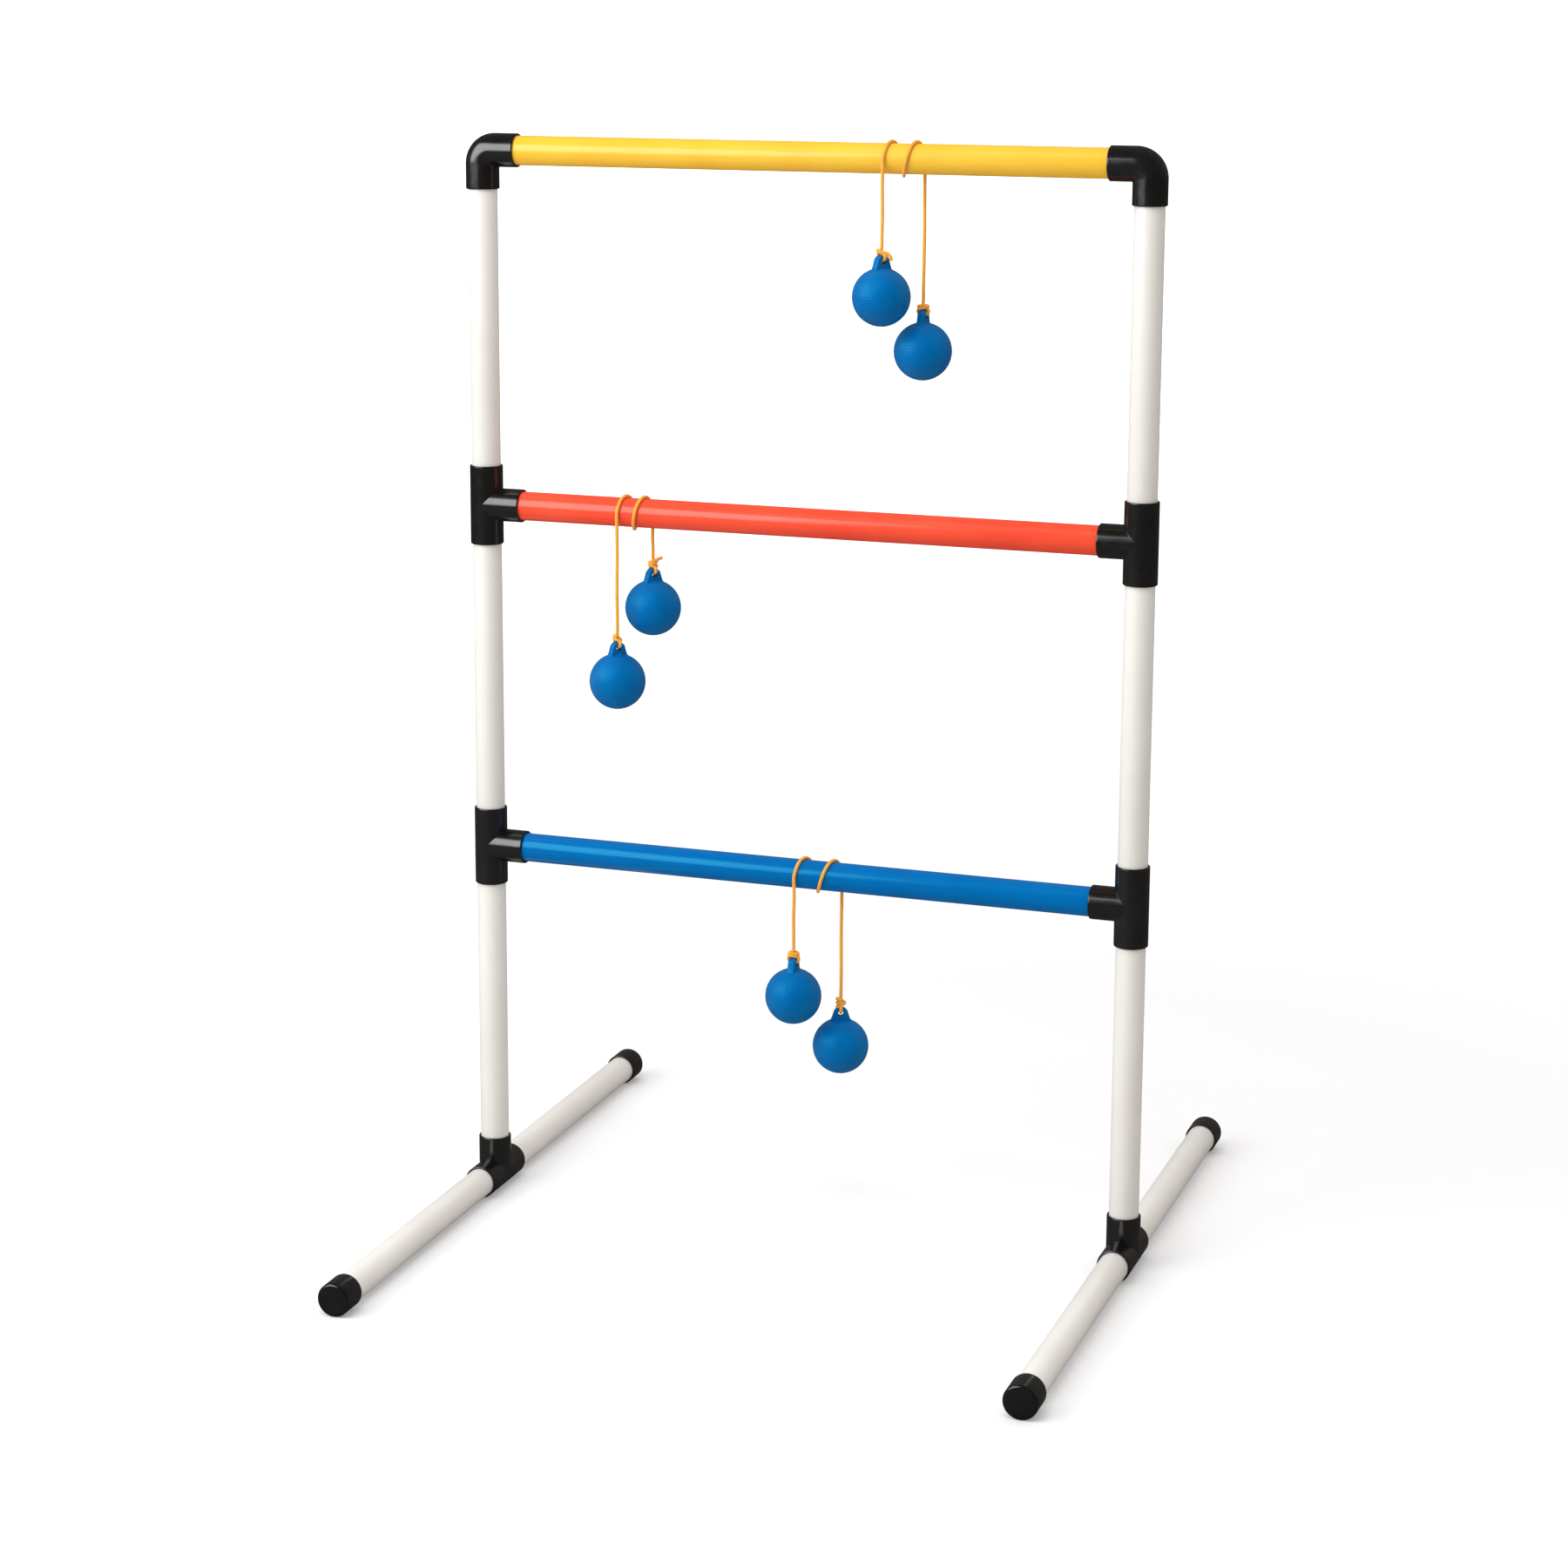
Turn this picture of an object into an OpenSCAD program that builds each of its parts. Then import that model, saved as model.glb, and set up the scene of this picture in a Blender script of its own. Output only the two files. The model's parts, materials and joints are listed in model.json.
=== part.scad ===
// Ladder toss frame: a push-together tube ladder with three rungs, two swivelling feet and
// three bolas (a cord with a ball at each end) wound round the rungs.
// Millimetres. The origin is on the floor, midway between the two uprights.
// +X runs along the rungs to the right, +Y runs away from the player, +Z is up.

/* [Tubes] */
// Outside diameter of every tube
tube_od = 25.4; // [20:0.1:32]
// Wall thickness of every tube
tube_wall = 1.5; // [1:0.1:3]
// Cut length of a rung tube
rung_length = 558.8; // [400:1:700]
// Cut length of an upright tube
upright_length = 279.4; // [240:1:360]
// Cut length of a foot tube
foot_length = 317; // [200:1:340]

/* [Fittings] */
// Wall thickness of the sockets and the caps
socket_wall = 1.85; // [1.2:0.05:4]
// Reach of each tee socket from the tee's centre
tee_reach = 35; // [30:0.5:50]
// Reach of each elbow socket from the elbow's corner
elbow_reach = 33.5; // [26:0.5:45]
// Distance from a fitting's centre to the shoulder that stops the tube
stop_reach = 15; // [14:0.5:20]
// Gap all round between a tube and its socket
socket_clearance = 0.05; // [0.02:0.01:0.1]
// Rounding of each socket's outer rim
rim_round = 1.0; // [0.3:0.1:1.2]
// Bend radius of the elbow's centre line
elbow_bend = 11.7; // [11:0.1:14]
// Overall length of a foot cap
cap_length = 26; // [15:1:40]
// Thickness of a foot cap's closed end
cap_end = 2.5; // [1.5:0.1:5]

/* [Balls and cord] */
// Ball diameter
ball_d = 49; // [40:0.5:56]
// Height of the hanging lug above the ball
lug_rise = 10.5; // [9:0.5:14]
// Width of the lug where it leaves the ball
lug_base_w = 18; // [14:0.5:22]
// Thickness of the lug
lug_thickness = 6.5; // [5:0.5:8]
// Radius of the lug's rounded top
lug_top_r = 6.7; // [5.5:0.1:7]
// Depth of the eye's centre below the lug's top
eye_depth = 5.2; // [4.8:0.1:5.5]
// Diameter of the eye through the lug
eye_d = 5; // [4:0.1:5]
// Cord diameter
cord_d = 2.8; // [2.5:0.1:3.4]
// Radius of the knot above the lug
knot_r = 3.6; // [3:0.1:4.2]

/* [Top bola] */
// Place along the rung where the front end hangs
top_front_x = 72.5; // [60:0.5:80]
// Place along the rung where the back end hangs
top_back_x = 100.5; // [100:0.5:120]
// Drop from the rung's centre to the front ball's centre
top_front_drop = 113.5; // [100:0.5:114]
// Drop from the rung's centre to the back ball's centre
top_back_drop = 160.5; // [160:0.5:200]
// Turn of the front ball's lug about the vertical
top_front_turn = 58; // [0:1:120]
// Turn of the back ball's lug about the vertical
top_back_turn = 86; // [0:1:120]

/* [Middle bola] */
// Place along the rung where the front end hangs
middle_front_x = -165.5; // [-180:0.5:-162]
// Place along the rung where the back end hangs
middle_back_x = -143; // [-145:0.5:-120]
// Drop from the rung's centre to the front ball's centre
middle_front_drop = 147.5; // [147:0.5:200]
// Drop from the rung's centre to the back ball's centre
middle_back_drop = 85.5; // [80:0.5:86]
// Turn of the front ball's lug about the vertical
middle_front_turn = 56; // [0:1:120]
// Turn of the back ball's lug about the vertical
middle_back_turn = 56; // [0:1:120]

/* [Bottom bola] */
// Place along the rung where the front end hangs
bottom_front_x = -1.5; // [-20:0.5:0]
// Place along the rung where the back end hangs
bottom_back_x = 33; // [30:0.5:60]
// Drop from the rung's centre to the front ball's centre
bottom_front_drop = 107; // [95:0.5:108]
// Drop from the rung's centre to the back ball's centre
bottom_back_drop = 157; // [156:0.5:180]
// Turn of the front ball's lug about the vertical
bottom_front_turn = 90; // [0:1:120]
// Turn of the back ball's lug about the vertical
bottom_back_turn = 20; // [0:1:120]

/* [Hidden] */
$fn = 96;

// Colours
white = [0.93, 0.93, 0.91];
black = [0.08, 0.08, 0.085];
yellow = [0.98, 0.82, 0.26];
red = [0.97, 0.31, 0.21];
blue = [0.00, 0.40, 0.72];
ball_blue = [0.00, 0.37, 0.67];
orange = [0.97, 0.62, 0.15];

// Tubes and sockets
tube_r = tube_od / 2;
bore_r = tube_r + socket_clearance;
socket_r = bore_r + socket_wall;
passage_r = tube_r - tube_wall;
bend_passage_r = min(passage_r, elbow_bend - 1);
lead_in = 0.6;
end_gap = 0.2;
tube_start = stop_reach + end_gap;

// Levels and half width
foot_z = socket_r;
level = upright_length + 2 * tube_start;
half_width = rung_length / 2 + tube_start;
bottom_z = foot_z + level;
middle_z = foot_z + 2 * level;
top_z = foot_z + 3 * level;

// Balls and cord
ball_r = ball_d / 2;
cord_r = cord_d / 2;
wrap_r = tube_r + cord_r + 0.1;
eye_z = ball_r + lug_rise - eye_depth;
lug_top_z = ball_r + lug_rise - lug_top_r;
strand_gap = 0.2;
strand_n = lug_thickness / 2 + cord_r + strand_gap;
strand_bend = cord_r + 0.4;
arch_z = eye_depth - 0.9;
knot_z = arch_z + strand_n + 0.9;
leg_top_drop = 10;
wrap_turn = 540;
wrap_steps = 72;
wrap_sides = 10;
wrap_ease = 0.06;

// A socket's outside: a round bar from z = start to z = reach with a rounded rim.
module socket_outside(start, reach) {
    translate([0, 0, start])
        rotate_extrude() {
            square([socket_r, reach - start - rim_round]);
            square([socket_r - rim_round, reach - start]);
            translate([socket_r - rim_round, reach - start - rim_round])
                circle(r = rim_round);
        }
}

// A socket's inside: the bore down to the stop shoulder, a lead-in and the way through.
module socket_inside(start, reach, through_r) {
    translate([0, 0, stop_reach])
        cylinder(r = bore_r, h = reach - stop_reach + 1);
    translate([0, 0, reach - lead_in])
        cylinder(r1 = bore_r, r2 = bore_r + 2 * lead_in, h = 2 * lead_in);
    translate([0, 0, start])
        cylinder(r = through_r, h = stop_reach - start + 1);
}

// A tee with its run along Z and its branch along +X.
module tee() {
    color(black)
        difference() {
            union() {
                for (turn = [0, 90, 180])
                    rotate([0, turn, 0])
                        socket_outside(0, tee_reach);
            }
            for (turn = [0, 90, 180])
                rotate([0, turn, 0])
                    socket_inside(0, tee_reach, passage_r);
        }
}

// A quarter bend of radius r round the Y axis, from straight up to the -X side.
module quarter_bend(r) {
    rotate([90, 0, 0])
        rotate([0, 0, 90])
            rotate_extrude(angle = 90)
                intersection() {
                    translate([elbow_bend, 0])
                        circle(r = r);
                    translate([0, -r])
                        square([elbow_bend + r, 2 * r]);
                }
}

// An elbow with its corner at the origin, one socket down and one along +X.
module elbow() {
    color(black)
        difference() {
            union() {
                rotate([0, 180, 0])
                    socket_outside(elbow_bend, elbow_reach);
                rotate([0, 90, 0])
                    socket_outside(elbow_bend, elbow_reach);
                translate([elbow_bend, 0, -elbow_bend])
                    quarter_bend(socket_r);
            }
            rotate([0, 180, 0])
                socket_inside(elbow_bend, elbow_reach, bend_passage_r);
            rotate([0, 90, 0])
                socket_inside(elbow_bend, elbow_reach, bend_passage_r);
            translate([elbow_bend, 0, -elbow_bend])
                quarter_bend(bend_passage_r);
        }
}

// A tube standing on the origin.
module tube(length) {
    difference() {
        cylinder(r = tube_r, h = length);
        translate([0, 0, -1])
            cylinder(r = passage_r, h = length + 2);
    }
}

// A cap with its mouth at the origin and its closed end up.
module cap() {
    color(black)
        difference() {
            rotate_extrude() {
                square([socket_r, cap_length - cap_end]);
                square([socket_r - cap_end, cap_length]);
                translate([socket_r - cap_end, cap_length - cap_end])
                    circle(r = cap_end);
            }
            translate([0, 0, -1])
                cylinder(r = bore_r, h = cap_length - cap_end + 1);
        }
}

// Puts a right-hand part on the left (side = -1) or the right (side = 1).
module at_side(side, z) {
    translate([side * half_width, 0, z])
        mirror([side > 0 ? 1 : 0, 0, 0])
            children();
}

module upright(side, base_z) {
    color(white)
        translate([side * half_width, 0, base_z + tube_start])
            tube(upright_length);
}

module rung(z, paint) {
    color(paint)
        translate([-rung_length / 2, 0, z])
            rotate([0, 90, 0])
                tube(rung_length);
}

module base_tee(side) {
    translate([side * half_width, 0, foot_z])
        rotate([0, 0, 90])
            rotate([0, -90, 0])
                tee();
}

// Along a foot: way = -1 is towards the player, way = 1 is away.
module along_foot(side, way, reach) {
    translate([side * half_width, way * reach, foot_z])
        rotate([-90 * way, 0, 0])
            children();
}

module foot_tube(side, way) {
    color(white)
        along_foot(side, way, tube_start)
            tube(foot_length);
}

module foot_cap(side, way) {
    along_foot(side, way, tube_start + foot_length + cap_end - cap_length + end_gap)
        cap();
}

// Share of the wrap's sideways travel done after a share s of its turns.
function wrap_share(s) = s - wrap_ease * sin(360 * s);

// One point on the cord's skin: step i along the wrap, side j round the cord.
function wrap_point(front_x, back_x, i, j) =
    let (
        s = i / wrap_steps,
        turn = wrap_turn * s,
        spin = 360 * j / wrap_sides,
        reach = wrap_r + cord_r * cos(spin)
    )
    [
        front_x + (back_x - front_x) * wrap_share(s) + cord_r * sin(spin),
        -reach * cos(turn),
        reach * sin(turn)
    ];

// The turns of cord round a rung, from the front end to the back end.
module cord_wrap(z, front_x, back_x) {
    points = [
        for (i = [0 : wrap_steps], j = [0 : wrap_sides - 1])
            wrap_point(front_x, back_x, i, j)
    ];
    skin = [
        for (i = [0 : wrap_steps - 1], j = [0 : wrap_sides - 1])
            let (
                a = i * wrap_sides + j,
                b = i * wrap_sides + (j + 1) % wrap_sides
            )
            each [
                [a, a + wrap_sides, b + wrap_sides],
                [a, b + wrap_sides, b]
            ]
    ];
    last = wrap_steps * wrap_sides;
    first_end = [for (j = [0 : wrap_sides - 1]) j];
    last_end = [for (j = [wrap_sides - 1 : -1 : 0]) last + j];
    color(orange)
        translate([0, 0, z])
            polyhedron(points = points, faces = concat(skin, [first_end, last_end]));
}

// The loop of cord through a lug's eye, centred on the eye, in the YZ plane.
module cord_loop() {
    rotate([90, 0, 0])
        cylinder(r = cord_r, h = 2 * (strand_n - strand_bend), center = true);
    for (way = [-1, 1]) {
        translate([0, way * (strand_n - strand_bend), strand_bend])
            rotate([0, 90, 0])
                rotate([0, 0, way > 0 ? 0 : -90])
                    rotate_extrude(angle = 90)
                        translate([strand_bend, 0])
                            circle(r = cord_r);
        translate([0, way * strand_n, strand_bend])
            cylinder(r = cord_r, h = arch_z - strand_bend);
    }
    translate([0, 0, arch_z])
        rotate([0, 90, 0])
            rotate([0, 0, 90])
                rotate_extrude(angle = 180)
                    translate([strand_n, 0])
                        circle(r = cord_r);
}

// A hanging end of cord: straight leg, knot and the loop through the ball's eye.
// way = -1 hangs in front of the rung, way = 1 hangs behind it.
module hanging_cord(z, x, way, drop, turn) {
    eye_drop = drop - eye_z;
    color(orange)
        translate([x, way * wrap_r, z - eye_drop]) {
            rotate([0, 0, turn])
                cord_loop();
            translate([0, 0, knot_z])
                sphere(r = knot_r);
            translate([0, 0, knot_z])
                cylinder(r = cord_r, h = eye_drop - knot_z - leg_top_drop);
        }
}

// The lug's outline: a rounded top on a tapered stem that ends inside the ball.
module lug_outline() {
    shoulder = lug_top_r * cos(10);
    shoulder_z = lug_top_z + lug_top_r * sin(10);
    foot_at = ball_r - 3;
    translate([0, lug_top_z])
        circle(r = lug_top_r);
    polygon([
        [-shoulder, shoulder_z], [shoulder, shoulder_z],
        [lug_base_w / 2, foot_at], [lug_base_w / 2, foot_at - 6],
        [-lug_base_w / 2, foot_at - 6], [-lug_base_w / 2, foot_at]
    ]);
}

// A ball with its moulded lug, centred on the ball.
module ball() {
    color(ball_blue)
        difference() {
            union() {
                sphere(r = ball_r);
                rotate([90, 0, 0])
                    linear_extrude(height = lug_thickness, center = true)
                        lug_outline();
            }
            translate([0, 0, eye_z])
                rotate([90, 0, 0])
                    cylinder(d = eye_d, h = lug_thickness + 2, center = true);
        }
}

module hanging_ball(z, x, way, drop, turn) {
    translate([x, way * wrap_r, z - drop])
        rotate([0, 0, turn])
            ball();
}

module left_elbow() at_side(-1, top_z) elbow();
module right_elbow() at_side(1, top_z) elbow();
module left_upper_tee() at_side(-1, middle_z) tee();
module right_upper_tee() at_side(1, middle_z) tee();
module left_lower_tee() at_side(-1, bottom_z) tee();
module right_lower_tee() at_side(1, bottom_z) tee();

module left_top_upright() upright(-1, middle_z);
module left_middle_upright() upright(-1, bottom_z);
module left_bottom_upright() upright(-1, foot_z);
module right_top_upright() upright(1, middle_z);
module right_middle_upright() upright(1, bottom_z);
module right_bottom_upright() upright(1, foot_z);

module top_rung() rung(top_z, yellow);
module middle_rung() rung(middle_z, red);
module bottom_rung() rung(bottom_z, blue);

module left_base_tee() base_tee(-1);
module left_front_foot_tube() foot_tube(-1, -1);
module left_rear_foot_tube() foot_tube(-1, 1);
module left_front_cap() foot_cap(-1, -1);
module left_rear_cap() foot_cap(-1, 1);
module right_base_tee() base_tee(1);
module right_front_foot_tube() foot_tube(1, -1);
module right_rear_foot_tube() foot_tube(1, 1);
module right_front_cap() foot_cap(1, -1);
module right_rear_cap() foot_cap(1, 1);

module top_cord_wrap() cord_wrap(top_z, top_front_x, top_back_x);
module top_front_cord() hanging_cord(top_z, top_front_x, -1, top_front_drop, top_front_turn);
module top_back_cord() hanging_cord(top_z, top_back_x, 1, top_back_drop, top_back_turn);
module top_front_ball() hanging_ball(top_z, top_front_x, -1, top_front_drop, top_front_turn);
module top_back_ball() hanging_ball(top_z, top_back_x, 1, top_back_drop, top_back_turn);

module middle_cord_wrap() cord_wrap(middle_z, middle_front_x, middle_back_x);
module middle_front_cord()
    hanging_cord(middle_z, middle_front_x, -1, middle_front_drop, middle_front_turn);
module middle_back_cord()
    hanging_cord(middle_z, middle_back_x, 1, middle_back_drop, middle_back_turn);
module middle_front_ball()
    hanging_ball(middle_z, middle_front_x, -1, middle_front_drop, middle_front_turn);
module middle_back_ball()
    hanging_ball(middle_z, middle_back_x, 1, middle_back_drop, middle_back_turn);

module bottom_cord_wrap() cord_wrap(bottom_z, bottom_front_x, bottom_back_x);
module bottom_front_cord()
    hanging_cord(bottom_z, bottom_front_x, -1, bottom_front_drop, bottom_front_turn);
module bottom_back_cord()
    hanging_cord(bottom_z, bottom_back_x, 1, bottom_back_drop, bottom_back_turn);
module bottom_front_ball()
    hanging_ball(bottom_z, bottom_front_x, -1, bottom_front_drop, bottom_front_turn);
module bottom_back_ball()
    hanging_ball(bottom_z, bottom_back_x, 1, bottom_back_drop, bottom_back_turn);

left_elbow();
right_elbow();
left_upper_tee();
right_upper_tee();
left_lower_tee();
right_lower_tee();
left_top_upright();
left_middle_upright();
left_bottom_upright();
right_top_upright();
right_middle_upright();
right_bottom_upright();
top_rung();
middle_rung();
bottom_rung();
left_base_tee();
left_front_foot_tube();
left_rear_foot_tube();
left_front_cap();
left_rear_cap();
right_base_tee();
right_front_foot_tube();
right_rear_foot_tube();
right_front_cap();
right_rear_cap();
top_cord_wrap();
top_front_cord();
top_back_cord();
top_front_ball();
top_back_ball();
middle_cord_wrap();
middle_front_cord();
middle_back_cord();
middle_front_ball();
middle_back_ball();
bottom_cord_wrap();
bottom_front_cord();
bottom_back_cord();
bottom_front_ball();
bottom_back_ball();
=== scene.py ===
"""Looks of the ladder toss frame: tubes, fittings, caps, pimpled balls and knotted braided cords.

Everything is in metres, in the CAD model's frame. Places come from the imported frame's boxes and
joints. Sizes below are the real object's, and are named once.
"""

import json
import math

import bmesh
import bpy
import numpy as np
from mathutils import Matrix, Vector
from mathutils.kdtree import KDTree


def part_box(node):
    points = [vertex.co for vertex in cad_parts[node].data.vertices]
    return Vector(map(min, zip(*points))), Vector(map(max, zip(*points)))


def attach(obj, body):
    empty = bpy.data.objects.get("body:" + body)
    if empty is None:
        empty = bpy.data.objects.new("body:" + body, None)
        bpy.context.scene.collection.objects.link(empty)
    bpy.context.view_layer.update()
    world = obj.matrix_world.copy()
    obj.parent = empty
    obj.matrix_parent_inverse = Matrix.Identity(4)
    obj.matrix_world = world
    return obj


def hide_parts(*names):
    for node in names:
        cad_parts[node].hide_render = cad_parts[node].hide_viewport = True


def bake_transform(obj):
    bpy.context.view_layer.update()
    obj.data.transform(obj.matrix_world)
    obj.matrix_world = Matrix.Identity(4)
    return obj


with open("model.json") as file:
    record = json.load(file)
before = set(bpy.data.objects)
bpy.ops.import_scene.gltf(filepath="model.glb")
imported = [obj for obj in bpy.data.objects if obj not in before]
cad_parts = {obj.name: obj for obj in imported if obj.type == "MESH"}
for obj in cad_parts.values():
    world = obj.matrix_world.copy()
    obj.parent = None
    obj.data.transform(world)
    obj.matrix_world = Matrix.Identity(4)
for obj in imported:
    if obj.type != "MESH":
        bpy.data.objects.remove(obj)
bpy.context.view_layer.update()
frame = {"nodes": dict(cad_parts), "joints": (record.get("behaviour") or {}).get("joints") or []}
JOINTS = {joint["name"]: joint for joint in frame["joints"]}

MM = 0.001
SIDES = ("left", "right")
LEVELS = ("top", "middle", "bottom")

# Tubes
TUBE_WALL = 1.5 * MM
SAWN_EDGE_R = 0.3 * MM

# Foot caps
CAP_WALL = 1.85 * MM
CAP_END = 2.5 * MM
CAP_LIP_R = 0.8 * MM
CAP_INNER_LIP_R = 0.35 * MM
CAP_SHOULDER_R = 2.6 * MM
CAP_DOME = 0.2 * MM
CAP_WAIST = 0.05 * MM

# Balls
BALL_R = 24.5 * MM
PIMPLE_ROWS = 12
MESH_PER_PIMPLE = 5
PIMPLE_HEIGHT = 0.29 * MM
PIMPLE_SUNK_SHARE = 0.35
PIMPLE_SPREAD = 0.52
SMOOTH_CAP_R = 12.0 * MM
SMOOTH_CAP_FADE = 4 * MM
LUG_TOP_R = 6.7 * MM
LUG_TOP_STARTS = 10  # degrees above level
LUG_BASE_W = 18 * MM
LUG_FLARE = 1.6 * MM
LUG_SINKS_IN = 3.0 * MM
LUG_THICKNESS = 6.5 * MM
LUG_EDGE_R = 0.9 * MM
EYE_R = 2.5 * MM
EYE_DEPTH = 5.2 * MM
EYE_RIM = 1.5 * MM
FILLET_REACH = 1.3 * MM
FILLET_BESIDE = 2.5 * MM
FILLET_PASSES = 6

# Cord
CORD_R = 1.48 * MM
CORD_STEP = 0.22 * MM
CORD_SIDES = 30
BRAID_STRANDS = 8
BRAID_PITCH = 1.7 * MM
BRAID_RELIEF = 0.16 * MM
BRAID_MEAN_HEIGHT = 0.75
TIP_START = 0.08  # a tip's smallest radius, squared, as a share of the cord's
LEG_STARTS_BELOW = 1.5 * MM
LEG_SWAY = 0.2 * MM
WRAP_TURN = math.radians(540)
WRAP_EASE = 0.06
CREST_TOLERANCE = 0.02 * MM

# Studio
FRAME_MIDDLE_Z = 0.5
ROOM_GLOW = 0.52
BACKDROP_GLOW = 1.3
BACKDROP_STARTS = -0.35
BACKDROP_TO_CAMERA = 1.05
GLOSSY_SHARE = 0.10
NEAR_FLOOR_GLOW = 0.2
FAR_FLOOR_GLOW = 0.9
NEAR_FLOOR_R = 0.8
FAR_FLOOR_R = 4.5
FLOOR_REACH = 30.0

# Camera
CAMERA_AT = (0.935, -2.751, 1.114)
CAMERA_YAW = math.radians(-20.41)
CAMERA_PITCH = math.radians(11.69)
CAMERA_LENS = 79.1
CAMERA_SHIFT = (0.05, -0.078)


# ---------------------------------------------------------------------------------- mesh helpers


def add_object(name, data):
    """A new object in the scene."""
    made = bpy.data.objects.new(name, data)
    bpy.context.scene.collection.objects.link(made)
    return made


def mesh_object(name, vertices, faces, material, flat_faces=()):
    """A smooth-shaded mesh object; faces whose index is in flat_faces stay flat."""
    mesh = bpy.data.meshes.new(name)
    mesh.from_pydata([tuple(v) for v in vertices], [], [tuple(f) for f in faces])
    smooth = np.ones(len(mesh.polygons), bool)
    smooth[list(flat_faces)] = False
    mesh.polygons.foreach_set("use_smooth", smooth)
    mesh.materials.append(material)
    return add_object(name, mesh)


def baked_mesh(holder):
    """The mesh that an object's curve or modifiers make."""
    bpy.context.view_layer.update()
    return bpy.data.meshes.new_from_object(holder.evaluated_get(bpy.context.evaluated_depsgraph_get()))


def arc(centre_r, centre_z, radius, start, stop, steps=6):
    """Profile points round (centre_r, centre_z), from angle start to stop in degrees."""
    points = []
    for i in range(steps + 1):
        a = math.radians(start + (stop - start) * i / steps)
        points.append((centre_r + radius * math.cos(a), centre_z + radius * math.sin(a)))
    return points


def lathe(name, profile, placement, material, sides=96):
    """Turns a profile of (radius, height) points round Z. It closes on itself or on the axis."""
    vertices, rings = [], []
    for r, z in profile:
        count = 1 if r == 0 else sides
        rings.append([len(vertices) + j % count for j in range(sides)])
        for j in range(count):
            a = 2 * math.pi * j / sides
            vertices.append(placement @ Vector((r * math.cos(a), r * math.sin(a), z)))
    faces = []
    pairs = list(zip(rings, rings[1:]))
    if profile[0][0] > 0:
        pairs.append((rings[-1], rings[0]))
    for lower, upper in pairs:
        for j in range(sides):
            k = (j + 1) % sides
            corners = (lower[j], lower[k], upper[k], upper[j])
            faces.append(tuple(dict.fromkeys(corners)))
    return mesh_object(name, vertices, faces, material)


# ------------------------------------------------------------------------------------- materials

WHITE = (0.83, 0.822, 0.805)
WHITE_SHADE = (0.79, 0.778, 0.75)
YELLOW = (0.93, 0.555, 0.045)
YELLOW_SHADE = (0.89, 0.495, 0.03)
RED = (0.94, 0.085, 0.034)
RED_SHADE = (0.88, 0.064, 0.028)
BLUE = (0.0, 0.145, 0.46)
BLUE_SHADE = (0.0, 0.122, 0.41)
BLUE_GLOSS = (0.12, 0.95, 1.0)
BLACK = (0.003, 0.003, 0.0033)
FITTING_DUST = (0.007, 0.007, 0.0073)
CAP_DUST = (0.007, 0.007, 0.0068)
BALL_BLUE = (0.0, 0.128, 0.41)
BALL_BLOOM = (0.0, 0.152, 0.46)
BALL_SEAM = (0.001, 0.165, 0.48)
BALL_GLOSS = (0.08, 0.85, 1.0)
# Cord colours: painted shade for the crevices between the strands, the cord's own orange on their crowns,
# and paler faded patches
CORD_CREVICE_SHADE = (0.72, 0.25, 0.014)
CORD_CROWN = (0.97, 0.43, 0.045)
CORD_FADED = (0.98, 0.50, 0.08)
FLOOR_WHITE = (0.62, 0.61, 0.59)
FLOOR_SHADE = (0.60, 0.59, 0.57)
FLOOR_IN_REFLECTIONS = (0.07, 0.07, 0.067)
FLOOR_TO_CAMERA = (0.74, 0.755, 0.785)
ROOM_LIGHT = (1, 0.955, 0.90)
ROOM_TO_CAMERA = (1, 1, 1)
BLACK_ROUGHNESS = 0.2


class Nodes:
    """Short calls for building a node tree. Numbers and sockets can both be inputs."""

    # A mix node's sockets for its two values and its result
    MIX_SOCKETS = {"FLOAT": (2, 3, 0), "RGBA": (6, 7, 2)}

    def __init__(self, tree):
        self.tree = tree

    def node(self, kind, **values):
        made = self.tree.nodes.new(kind)
        for key, value in values.items():
            setattr(made, key, value)
        return made

    def link(self, source, target):
        self.tree.links.new(source, target)

    def feed(self, socket, value):
        """Links value to socket, or sets it as the socket's own number or colour."""
        if isinstance(value, bpy.types.NodeSocket):
            self.link(value, socket)
        elif isinstance(value, (tuple, list)):
            socket.default_value = (*value, 1)
        else:
            socket.default_value = value

    def ramp(self, source, low, high, start=0.0, stop=1.0):
        """Goes from low to high while source goes from start to stop."""
        made = self.node("ShaderNodeMapRange")
        made.inputs["From Min"].default_value = start
        made.inputs["From Max"].default_value = stop
        made.inputs["To Min"].default_value = low
        made.inputs["To Max"].default_value = high
        self.link(source, made.inputs["Value"])
        return made.outputs["Result"]

    def mix(self, share, first, second, kind="RGBA"):
        """Mixes two colours, or two numbers when kind is FLOAT, by share."""
        made = self.node("ShaderNodeMix", data_type=kind)
        first_at, second_at, result_at = self.MIX_SOCKETS[kind]
        self.link(share, made.inputs["Factor"])
        self.feed(made.inputs[first_at], first)
        self.feed(made.inputs[second_at], second)
        return made.outputs[result_at]

    def calculate(self, operation, first, second=0.0):
        made = self.node("ShaderNodeMath", operation=operation)
        self.feed(made.inputs[0], first)
        self.feed(made.inputs[1], second)
        return made.outputs[0]

    def vector(self, operation, first, second=None):
        """The number that a vector operation gives, such as a length or a dot product."""
        made = self.node("ShaderNodeVectorMath", operation=operation)
        self.link(first, made.inputs[0])
        if second is not None:
            self.link(second, made.inputs[1])
        return made.outputs["Value"]

    def y_part(self, source):
        split = self.node("ShaderNodeSeparateXYZ")
        self.link(source, split.inputs[0])
        return split.outputs["Y"]


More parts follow.
